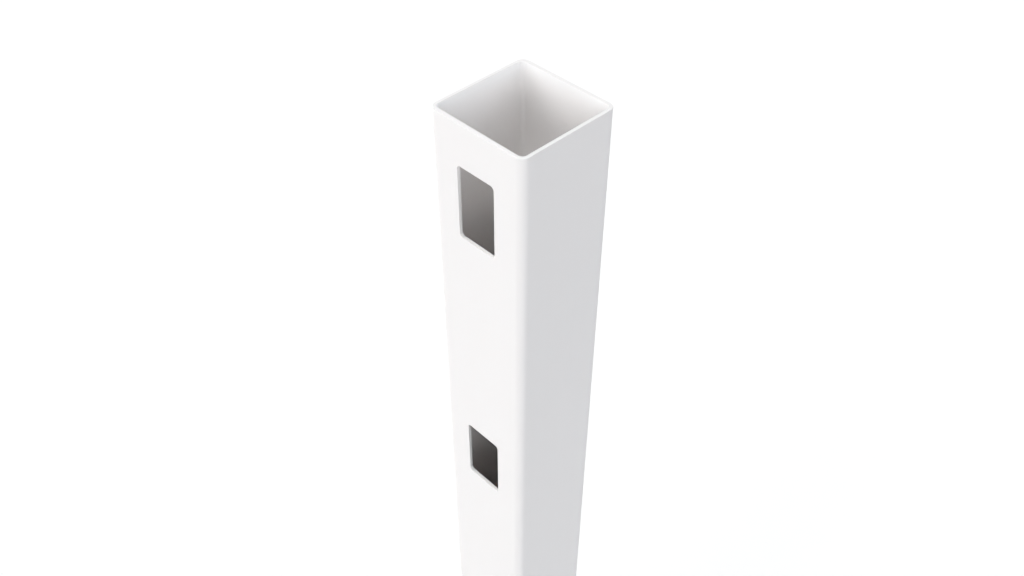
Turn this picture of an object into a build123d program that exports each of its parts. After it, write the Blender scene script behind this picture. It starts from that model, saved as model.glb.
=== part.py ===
"""Routed end post of a vinyl fence.

One extruded square tube of rigid PVC, open at both ends, with rounded corners.
One of its four walls has rail holes routed through it, and the other three are plain.

Millimetres. +Z runs up the post, and the origin is at the centre of its foot.
The rail holes are in the wall that faces -Y.
"""

import os

from build123d import *

# The extruded tube
post_width = 127.0
wall = 3.8
inside_corner_radius = 5.7
post_length = 1828.8

# The sawn ends, with their outer edge broken round the tube
end_edge_round = 0.5

# The rails that slot into it, and the gap that each hole leaves round its rail
rail_width = 50.8
rail_height = 88.9
rail_clearance = 0.3

# The routed rail holes, counted down from the top end
hole_corner_radius = 4.8
hole_count = 2
top_margin = 49.7
rail_spacing = 388.9

# How far the router's bit runs on into the hollow, past the wall's inner face
router_overrun = 3.0

# Sizes that follow from those above
outside_corner_radius = inside_corner_radius + wall
hollow_width = post_width - 2 * wall
hole_width = rail_width + 2 * rail_clearance
hole_height = rail_height + 2 * rail_clearance
top_hole_height = post_length - top_margin - hole_height / 2


def extruded_tube():
    """The profile, a rounded square ring with one wall thickness all round, pulled to length."""
    with BuildPart() as tube:
        with BuildSketch(Plane.XY):
            RectangleRounded(post_width, post_width, outside_corner_radius)
            RectangleRounded(hollow_width, hollow_width, inside_corner_radius, mode=Mode.SUBTRACT)
        extrude(amount=post_length)
    return tube.part


def break_sawn_edges(tube):
    """The outer edge of each sawn end is lightly rounded; the inner edge stays as sawn."""
    by_height = tube.faces().sort_by(Axis.Z)
    outer_edges = [edge for end in (by_height[0], by_height[-1]) for edge in end.outer_wire().edges()]
    return tube.fillet(end_edge_round, outer_edges)


def rail_hole(height):
    """What the router takes out: a round-cornered window through the -Y wall, centred at this height."""
    outer_face = Plane(origin=(0, -post_width / 2, height), x_dir=(1, 0, 0), z_dir=(0, -1, 0))
    window = outer_face * RectangleRounded(hole_width, hole_height, hole_corner_radius)
    return extrude(window, amount=-(wall + router_overrun))


post = break_sawn_edges(extruded_tube())
for index in range(hole_count):
    post -= rail_hole(top_hole_height - index * rail_spacing)

post.label = "post"
os.makedirs("parts", exist_ok=True)
export_step(post, "parts/post.step")
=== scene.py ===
# %% [markdown]
# # A white vinyl end post for a fence
#
# The object is one length of square vinyl tube, 127 mm wide and 1.83 m long. It is open at both ends,
# and two rail holes are routed through one of its walls. The photograph shows only its upper 0.67 m, so
# the length is the usual one for such a post, and the foot is a plain cut. The solid model already has
# every form that shows: the rounded corners, the sawn ends with their softened outer edge, and the
# holes through the wall. So nothing is modelled twice here. This lesson gives that solid the surface
# of real vinyl, and then the plain, pale studio that a shop picture is taken in.

# %% Load the post
import math

import bpy
import numpy as np
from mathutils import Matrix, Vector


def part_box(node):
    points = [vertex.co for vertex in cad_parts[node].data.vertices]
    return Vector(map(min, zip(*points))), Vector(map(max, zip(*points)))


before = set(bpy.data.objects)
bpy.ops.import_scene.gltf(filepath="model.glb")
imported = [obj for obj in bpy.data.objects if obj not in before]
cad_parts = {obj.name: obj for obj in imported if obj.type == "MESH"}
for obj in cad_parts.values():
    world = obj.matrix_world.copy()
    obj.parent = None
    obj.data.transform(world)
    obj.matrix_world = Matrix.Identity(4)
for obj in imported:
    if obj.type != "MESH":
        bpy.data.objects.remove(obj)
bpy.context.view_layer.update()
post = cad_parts["post"]

# %% [markdown]
# ## Sizes
#
# Some finishes sit only in one place, such as the saw's marks on the two ends. The material finds
# those places by their coordinates, so it needs a few of the post's own sizes. All are in metres.
# The origin is at the centre of the foot, Z runs up the post, and the routed wall faces -Y.

# %% Sizes
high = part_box("post")[1]
post_length = high.z
half_width = high.x
wall = 0.0038
half_hollow = half_width - wall
print("half width", round(half_width, 4), "half hollow", round(half_hollow, 4))
print("length", round(post_length, 4))

# %% [markdown]
# ## The camera
#
# A picture of a plain object stands or falls with its viewpoint. This one looks down at the open top
# from in front of the near corner, so that two outer walls, two inner walls and both rail holes show.
# Its place, angles and lens come from fitting a pinhole camera to the edges in the photograph. The
# foot is far below the frame, and the two sides run together towards it, as they do seen from above.

# %% Camera
# where it stands in metres, how far it tips down and turns round the post in degrees, its lens in mm
camera_place = (0.58561, -0.58703, post_length + 0.53473)
camera_down = 42.919
camera_round = 45.634
camera_lens = 35.965
film_width = 36


def add_camera(place, down_degrees, round_degrees, focal_length):
    """A level camera: tipped down from the horizon, and turned round the post from the routed wall."""
    camera = bpy.data.objects.new("camera", bpy.data.cameras.new("camera"))
    bpy.context.scene.collection.objects.link(camera)
    camera.location = place
    camera.rotation_euler = (math.radians(90 - down_degrees), 0, math.radians(round_degrees))
    camera.data.sensor_width = film_width
    camera.data.lens = focal_length
    camera.data.clip_start = 0.01
    camera.data.clip_end = 100
    return camera


camera = add_camera(camera_place, camera_down, camera_round, camera_lens)
bpy.context.scene.camera = camera
print("camera stands", round(math.hypot(*camera.location[:2]), 3), "m from the post's middle line")

# %% [markdown]
# ## Drawing a material with nodes
#
# A material is a small graph. Writing every node and link out in full hides the idea behind the
# bookkeeping, so a few short helpers do that part: one fills or links an input, one adds a node, two
# do a step of arithmetic on numbers or on vectors, one makes a noise that is stretched to a given
# grain, and one adds things up by weight. An input may be a plain number, or another node's output, in
# which case it is linked.

# %% Node helpers


def put(tree, value, socket):
    """Gives a socket its value, or links it where the value is another node's output."""
    if isinstance(value, bpy.types.NodeSocket):
        tree.links.new(value, socket)
    else:
        socket.default_value = value


def add(tree, kind, out=0, **inputs):
    """Adds a node, fills its named inputs (underscores stand for spaces), and returns one output."""
    node = tree.nodes.new(kind)
    for name, value in inputs.items():
        put(tree, value, node.inputs[name.replace("_", " ")])
    return node.outputs[out]


def calculate(tree, operation, *values, clamp=False):
    """One step of arithmetic, such as MULTIPLY or LESS_THAN, on numbers or outputs."""
    node = tree.nodes.new("ShaderNodeMath")
    node.operation = operation
    node.use_clamp = clamp
    for value, socket in zip(values, node.inputs):
        put(tree, value, socket)
    return node.outputs[0]


def calculate_vector(tree, operation, first, second, out="Vector"):
    """One step on vectors, such as MULTIPLY or DISTANCE, which gives its answer at the output Value."""
    node = tree.nodes.new("ShaderNodeVectorMath")
    node.operation = operation
    put(tree, first, node.inputs[0])
    put(tree, second, node.inputs[1])
    return node.outputs[out]


def grain(tree, place, stretch, detail=2.0, roughness=0.5):
    """Noise from -0.5 to 0.5. Stretch says how many waves it has per metre along X, Y and Z."""
    scaled = calculate_vector(tree, "MULTIPLY", place, stretch)
    noise = add(
        tree, "ShaderNodeTexNoise", Vector=scaled, Scale=1.0, Detail=detail, Roughness=roughness
    )
    return calculate(tree, "SUBTRACT", noise, 0.5)


def weighted_sum(tree, *pairs):
    """Adds up outputs, each times its own weight."""
    total = None
    for value, weight in pairs:
        part = calculate(tree, "MULTIPLY", value, weight)
        total = part if total is None else calculate(tree, "ADD", total, part)
    return total


print("helpers ready: put, add, calculate, calculate_vector, grain, weighted_sum")

# %% [markdown]
# ## Where each finish sits
#
# Three finishes meet on this post. The skin is what the extrusion die and the cooling tank leave:
# smooth and satin. The inside never touches the calibrator, so it is a little duller. The cut faces,
# which are the sides of the rail holes and the two sawn ends, show the tool that made them. A painted
# mask could tell them apart, but each has its own range of coordinates, so plain arithmetic does it
# sharply at any distance and needs no image. The same masks also place painted shade inside and on the
# sawn ends, and painted light on the routed sides. The fourth mask has no sharp edge. It marks the
# mouths of the hollow, where the photograph shows the inner walls lighter than further down, and the
# colour there is painted lighter: painted light where light falls in over the rim. Light that enters
# the sawn rim and leaves again through the inner wall may be the cause, but the picture can't tell.

# %% Masks
# where the mouth's painted light has faded by half, and how deep the saw's finish and its painted shade
# go
mouth_depth = 0.013
sawn_depth = 0.00052
# the rail holes keep within this of the wall's middle line, and this far from the ends
routed_half_width = 0.030
routed_off_ends = 0.020
# the inside's mask reaches this far past the hollow's walls, and the routed one stops this far short
# of the wall's two faces
margin_inside = 0.0001
margin_routed = 0.00008


def where_inside(tree, x, y):
    """1 on the walls of the hollow: there the larger of |x| and |y| is at most half its width."""
    across = calculate(tree, "ABSOLUTE", x)
    farther = calculate(tree, "MAXIMUM", across, calculate(tree, "ABSOLUTE", y))
    return calculate(tree, "LESS_THAN", farther, half_hollow + margin_inside)


def from_mid_height(tree, z):
    """How far a point is from the middle of the post's length, up or down."""
    return calculate(tree, "ABSOLUTE", calculate(tree, "SUBTRACT", z, post_length / 2))


def where_routed(tree, x, y, z):
    """1 on the sides of the rail holes: within the wall's thickness, away from corners and ends."""
    in_wall = calculate(tree, "COMPARE", y, wall / 2 - half_width, wall / 2 - margin_routed)
    in_middle = calculate(tree, "LESS_THAN", calculate(tree, "ABSOLUTE", x), routed_half_width)
    off_ends = calculate(tree, "LESS_THAN", from_mid_height(tree, z), post_length / 2 - routed_off_ends)
    return calculate(tree, "MULTIPLY", calculate(tree, "MULTIPLY", in_wall, in_middle), off_ends)


def where_sawn(tree, z):
    """1 on the two end faces and their softened outer edge, which also get painted shade: the last half
    millimetre.
    """
    return calculate(tree, "GREATER_THAN", from_mid_height(tree, z), post_length / 2 - sawn_depth)


def near_mouth(tree, z):
    """Where the painted light at the mouths lies: 1 at the two ends, a half at mouth_depth, then
    little: 1 / (1 + (depth / mouth_depth)^2).
    """
    depth = calculate(tree, "SUBTRACT", post_length / 2, from_mid_height(tree, z))
    ratio = calculate(tree, "DIVIDE", depth, mouth_depth)
    square = calculate(tree, "MULTIPLY", ratio, ratio)
    return calculate(tree, "DIVIDE", 1.0, calculate(tree, "ADD", square, 1.0))


print("masks ready: inside, routed, sawn, mouth")

# %% [markdown]
# ## The marks each tool leaves
#
# The die drags faint lines along the whole length, a millimetre or two apart. They come from noise
# that is fine across the post and very long up it. The calibrator leaves a slow waviness, a few
# hundredths of a millimetre deep, which only a low light shows. The router turns across the wall, so
# its marks are short lines through the wall's thickness, side by side round the hole. The saw
# leaves arcs about the blade's axle: noise read from the distance to that axle gives them. The
# photograph is too small to show any of these marks. Their sizes are guesses from how such a post is
# made, kept so fine that they hardly show there. All heights are in metres.

# %% Relief
# where the saw's axle stood, and how many of its marks there are in a metre outwards from there
saw_axle = (0.19, 0.09, 0)
saw_marks_per_metre = 900
# how deep each mark is, from its lowest to its highest point, in metres
line_depth = 0.000012
wave_depth = 0.00010
pore_depth = 0.000003
router_depth = 0.000030
saw_depth = 0.000040


def die_lines(tree, place):
    """Fine lines up the post: 650 waves a metre across it, and fewer than 2 along it."""
    return grain(tree, place, (650, 650, 1.6), detail=3, roughness=0.6)


def slow_waves(tree, place):
    """Waves about 40 mm across and 90 mm long, as the cooling tube leaves them."""
    return grain(tree, place, (24, 24, 11), detail=1)


def pores(tree, place):
    """Very fine unevenness, a third of a millimetre across, the same in each direction."""
    return grain(tree, place, (3000, 3000, 3000), detail=1)


def router_marks(tree, place):
    """Lines straight through the wall: fine along X and Z, long along Y."""
    return grain(tree, place, (1500, 60, 1500), detail=2)


def saw_arcs(tree, place):
    """Arcs about the blade's axle: noise along the distance from it, so it is the same all round."""
    flat = calculate_vector(tree, "MULTIPLY", place, (1, 1, 0))
    reach = calculate_vector(tree, "DISTANCE", flat, saw_axle, out="Value")
    noise = tree.nodes.new("ShaderNodeTexNoise")
    noise.noise_dimensions = "1D"
    noise.inputs["Scale"].default_value = 1
    noise.inputs["Detail"].default_value = 2
    put(tree, calculate(tree, "MULTIPLY", reach, saw_marks_per_metre), noise.inputs["W"])
    return calculate(tree, "SUBTRACT", noise.outputs[0], 0.5)


print("relief ready: die lines, slow waves, pores, router marks, saw arcs")

# %% [markdown]
# ## White vinyl
#
# Fence vinyl is white all the way through, but it is never one flat white. The whites below were
# matched to the photograph under the lamps of this scene, and they carry painted light and shade. The
# inside is a little darker and warmer than the skin: painted shade for the hollow. It is lighter again
# towards the mouths: painted light where light falls in over the rim. The routed sides are the
# brightest: painted light on the sides and sills of the rail holes. The sawn ends are a touch under the
# skin: painted shade that dims the lit rim and its softened edge. The clouds a hand wide and the faint
# streaks along the length, both within one percent, stand for pigment that is mixed a little unevenly.
# They are a guess, and so is the small share of subsurface light, which travels about 3 mm and softens
# the edges. The gloss is satin, a little uneven along the die lines, duller inside, and dull on the cut
# faces. One shader with these masks gives one material for the one solid, with no seams to hide.

# %% Colour and gloss
skin_white = (0.912, 0.896, 0.893, 1)
# painted shade: the inside is darker and warmer than the skin, as the hollow is shaded
inside_painted_shade_white = (0.840, 0.820, 0.811, 1)
# painted light: the inner walls are lighter at the mouths, where light falls in over the rim
mouth_painted_light_white = (0.915, 0.912, 0.912, 1)
# painted shade: the sawn ends and their softened edge are darker, dimming the lit rim
sawn_painted_shade_white = (0.898, 0.888, 0.884, 1)
# painted light: the sides and sills of the rail holes are lighter, as if more light reached them
routed_painted_light_white = (0.950, 0.940, 0.936, 1)
# how far the clouds and the streaks change that white, as a share of it
cloud_share = 0.010
streak_share = 0.008
# the roughness of the skin, and what each of the others adds to it
satin = 0.42
cloud_dulling = 0.06
line_dulling = 0.10
inside_dulling = 0.10
cut_dulling = 0.22
# light in the wall: its share, how far red, green and blue get, and how many metres a 1 stands for
inner_light = 0.10
inner_reach = (1.0, 0.93, 0.9)
inner_reach_scale = 0.003
vinyl_ior = 1.5


def mixed(tree, share, first, second):
    """The first colour where the share is 0, and the second where it is 1."""
    node = tree.nodes.new("ShaderNodeMix")
    node.data_type = "RGBA"
    for value, name in ((share, "Factor"), (first, "A"), (second, "B")):
        fitting = [s for s in node.inputs if s.name == name and s.enabled]
        put(tree, value, fitting[0])
    return next(s for s in node.outputs if s.enabled)


def vinyl_colour(tree, place, inside, mouth, routed, sawn):
    """Skin; inside with painted shade, lighter at the mouth with painted light; routed sides with
    painted light, sawn ends with painted shade; clouds and streaks within one percent.
    """
    # painted shade inside, made lighter towards the mouths by painted light
    inside_shade_and_light = mixed(tree, mouth, inside_painted_shade_white, mouth_painted_light_white)
    uncut = mixed(tree, inside, skin_white, inside_shade_and_light)
    # painted light on the routed sides, painted shade on the sawn ends
    white = mixed(tree, sawn, mixed(tree, routed, uncut, routed_painted_light_white), sawn_painted_shade_white)
    clouds = grain(tree, place, (9, 9, 5), detail=2)
    streaks = grain(tree, place, (180, 180, 0.9), detail=2)
    change = weighted_sum(tree, (clouds, cloud_share), (streaks, streak_share))
    scaled = tree.nodes.new("ShaderNodeVectorMath")
    scaled.operation = "SCALE"
    put(tree, white, scaled.inputs[0])
    put(tree, calculate(tree, "ADD", change, 1.0), scaled.inputs["Scale"])
    return scaled.outputs[0]


def vinyl_roughness(tree, place, inside, cut, lines):
    """Satin, with soft clouds and die lines in it, duller inside and where cut."""
    clouds = grain(tree, place, (30, 30, 12), detail=2)
    duller = weighted_sum(
        tree,
        (clouds, cloud_dulling),
        (lines, line_dulling),
        (inside, inside_dulling),
        (cut, cut_dulling),
    )
    return calculate(tree, "ADD", duller, satin, clamp=True)


# %% Put the vinyl together
def white_vinyl():
    """The whole material: masks, colour, gloss and relief on one principled shader."""
    material = bpy.data.materials.new("white_vinyl")
    material.use_nodes = True
    tree = material.node_tree
    shader = tree.nodes["Principled BSDF"]
    place = add(tree, "ShaderNodeTexCoord", out="Object")
    apart = tree.nodes.new("ShaderNodeSeparateXYZ")
    put(tree, place, apart.inputs[0])
    x, y, z = apart.outputs

    inside = where_inside(tree, x, y)
    routed = where_routed(tree, x, y, z)
    sawn = where_sawn(tree, z)
    mouth = near_mouth(tree, z)
    cut = calculate(tree, "MAXIMUM", routed, sawn)
    skin = calculate(tree, "SUBTRACT", 1.0, cut)

    lines = calculate(tree, "MULTIPLY", die_lines(tree, place), skin)
    router = calculate(tree, "MULTIPLY", router_marks(tree, place), routed)
    saw = calculate(tree, "MULTIPLY", saw_arcs(tree, place), sawn)
    height = weighted_sum(
        tree,
        (lines, line_depth),
        (slow_waves(tree, place), wave_depth),
        (pores(tree, place), pore_depth),
        (router, router_depth),
        (saw, saw_depth),
    )
    relief = add(tree, "ShaderNodeBump", Strength=1.0, Distance=1.0, Height=height)

    put(tree, vinyl_colour(tree, place, inside, mouth, routed, sawn), shader.inputs["Base Color"])
    put(tree, vinyl_roughness(tree, place, inside, cut, lines), shader.inputs["Roughness"])
    put(tree, relief, shader.inputs["Normal"])
    shader.inputs["IOR"].default_value = vinyl_ior
    shader.inputs["Subsurface Weight"].default_value = inner_light
    shader.inputs["Subsurface Radius"].default_value = inner_reach
    shader.inputs["Subsurface Scale"].default_value = inner_reach_scale
    return material


post.data.materials.clear()
post.data.materials.append(white_vinyl())
print("vinyl has", len(post.data.materials[0].node_tree.nodes), "nodes")

# %% [markdown]
# ## The floor
#
# The post stands on a wide, plain floor. It is a flat disc: a point is a distance along a spoke,
# turned by an angle. The camera should see it as white paper, but a floor that really sent that much
# light up would flatten the shading on the post. So it gets two greys further on: a dark one for the
# light that it sends to the post, and a pale one for the eye, with a white glow added on top. The
# post's shadow still shows in it.

# %% Floor mesh
floor_radius = 14


def disc(name, radius, rings, spokes):
    """A flat disc in the XY plane.

    Point (i, j) is at radius * i / rings, turned by 360 * j / spokes degrees.
    """
    ring, spoke = np.meshgrid(np.arange(1, rings + 1), np.arange(spokes), indexing="ij")
    reach = radius * ring / rings
    turn = 2 * np.pi * spoke / spokes
    points = np.stack([reach * np.cos(turn), reach * np.sin(turn), 0 * turn], -1).reshape(-1, 3)
    points = np.concatenate([[[0, 0, 0]], points])

    def index(i, j):
        return 1 + i * spokes + j % spokes

    i, j = np.meshgrid(np.arange(rings - 1), np.arange(spokes), indexing="ij")
    corners = [index(i, j), index(i + 1, j), index(i + 1, j + 1), index(i, j + 1)]
    quads = np.stack(corners, -1).reshape(-1, 4)
    j = np.arange(spokes)
    middle = np.stack([0 * j, index(0, j), index(0, j + 1)], -1)
    mesh = bpy.data.meshes.new(name)
    mesh.from_pydata(points.tolist(), [], middle.tolist() + quads.tolist())
    floor = bpy.data.objects.new(name, mesh)
    bpy.context.scene.collection.objects.link(floor)
    return floor


floor = disc("floor", radius=floor_radius, rings=12, spokes=96)
print("floor has", len(floor.data.polygons), "faces")

# %% [markdown]
# ## The lamps
#
# Nothing in the photograph shines back a lamp, and the shading changes slowly, so the light comes from
# broad, soft sources. Suns as wide as 40 degrees do that, and a sun has no distance to get wrong. The
# wall with the rail holes is the brightest, so the strongest lamps stand to its left and before it.
# The wall to its right gets only fill, which is a touch bluer, and a low lamp behind is a touch warmer.
# The light inside the tube fades fast with depth, which says that much of it comes in low over the
# rim. Each strength was found by lighting the post with one sun at a time, and mixing those renders
# until the mix had the photograph's shading. Other mixes would fit about as well, so this is a light
# that works and not a record of the real one. A strength of 1 turns a white wall that faces the lamp
# fully white.

# %% Lamp table
neutral = (1, 1, 1)
cool = (0.965, 0.996, 1.039)
warm = (1.02, 1.0, 0.98)

# name, degrees round from the routed wall towards +X, degrees above the floor, strength, colour
lamp_table = (
    ("left, high", 285.6, 40, 0.700, neutral),
    ("front left, high", 345.6, 40, 0.178, neutral),
    ("front left, low", 345.6, 12, 0.158, neutral),
    ("front, low", 15.6, 12, 0.406, neutral),
    ("behind the camera", 45.6, 12, 0.121, neutral),
    ("right front", 75.6, 25, 0.184, cool),
    ("right", 105.6, 25, 0.158, cool),
    ("right back", 135.6, 25, 0.196, cool),
    ("back, low", 195.6, 12, 0.215, warm),
)
lamp_width = 40


def add_lamp(name, turn, height, strength, colour):
    """A wide sun that shines at the post from that side and height."""
    lamp = bpy.data.objects.new(name, bpy.data.lights.new(name, "SUN"))
    bpy.context.scene.collection.objects.link(lamp)
    lamp.data.angle = math.radians(lamp_width)
    lamp.data.energy = math.pi * strength
    lamp.data.color = colour
    lamp.rotation_euler = (math.radians(90 - height), 0, math.radians(turn))
    return lamp


lamps = [add_lamp(*row) for row in lamp_table]
light_on_floor = sum(row[3] * math.sin(math.radians(row[2])) for row in lamp_table)
print(len(lamps), "lamps, light on the floor", round(light_on_floor, 3))

# %% [markdown]
# ## What the eye sees as white
#
# The paper-white surroundings are not a light. The world and the floor ask each ray what it is: a ray
# from the camera, or one that a gloss or a clear surface sends on, meets white. Every other ray meets
# the dark world and the grey floor, so the white adds nothing to the shading.

# %% White surroundings
# the floor's two greys, how much its fibres change them, and the level that the eye sees as white
floor_to_eye = 0.80
floor_to_post = 0.20
fibre_change = 0.01
full_white = 1.02


def seen_directly(tree):
    """1 for camera rays and for those that gloss or clear surfaces send on, and 0 for the rest."""
    path = tree.nodes.new("ShaderNodeLightPath")
    seen = calculate(tree, "MAXIMUM", path.outputs["Is Camera Ray"], path.outputs["Is Glossy Ray"])
    return calculate(tree, "MAXIMUM", seen, path.outputs["Is Transmission Ray"])


def floor_paper():
    """Pale paper to the eye and grey to the post. A glow brings the lit floor up to full white."""
    material = bpy.data.materials.new("floor_paper")
    material.use_nodes = True
    tree = material.node_tree
    shader = tree.nodes["Principled BSDF"]
    place = add(tree, "ShaderNodeTexCoord", out="Object")
    seen = seen_directly(tree)
    fibres = grain(tree, place, (60, 60, 60), detail=3)
    brighter = calculate(tree, "MULTIPLY", seen, floor_to_eye - floor_to_post)
    change = weighted_sum(tree, (fibres, fibre_change), (brighter, 1.0))
    shade = calculate(tree, "ADD", change, floor_to_post)
    put(tree, add(tree, "ShaderNodeCombineXYZ", X=shade, Y=shade, Z=shade), shader.inputs["Base Color"])
    shader.inputs["Roughness"].default_value = 1
    shader.inputs["Specular IOR Level"].default_value = 0
    shader.inputs["Emission Color"].default_value = (1, 1, 1, 1)
    glow = calculate(tree, "MULTIPLY", seen, full_white - floor_to_eye * light_on_floor)
    put(tree, glow, shader.inputs["Emission Strength"])
    return material


def white_world():
    """White to the eye and dark to the shading."""
    world = bpy.data.worlds.new("surroundings")
    world.use_nodes = True
    background = world.node_tree.nodes["Background"]
    background.inputs["Color"].default_value = (1, 1, 1, 1)
    put(world.node_tree, seen_directly(world.node_tree), background.inputs["Strength"])
    return world


floor.data.materials.append(floor_paper())
bpy.context.scene.world = white_world()
bpy.context.scene.view_settings.view_transform = "Standard"
print("floor glow to the eye", round(full_white - floor_to_eye * light_on_floor, 3))
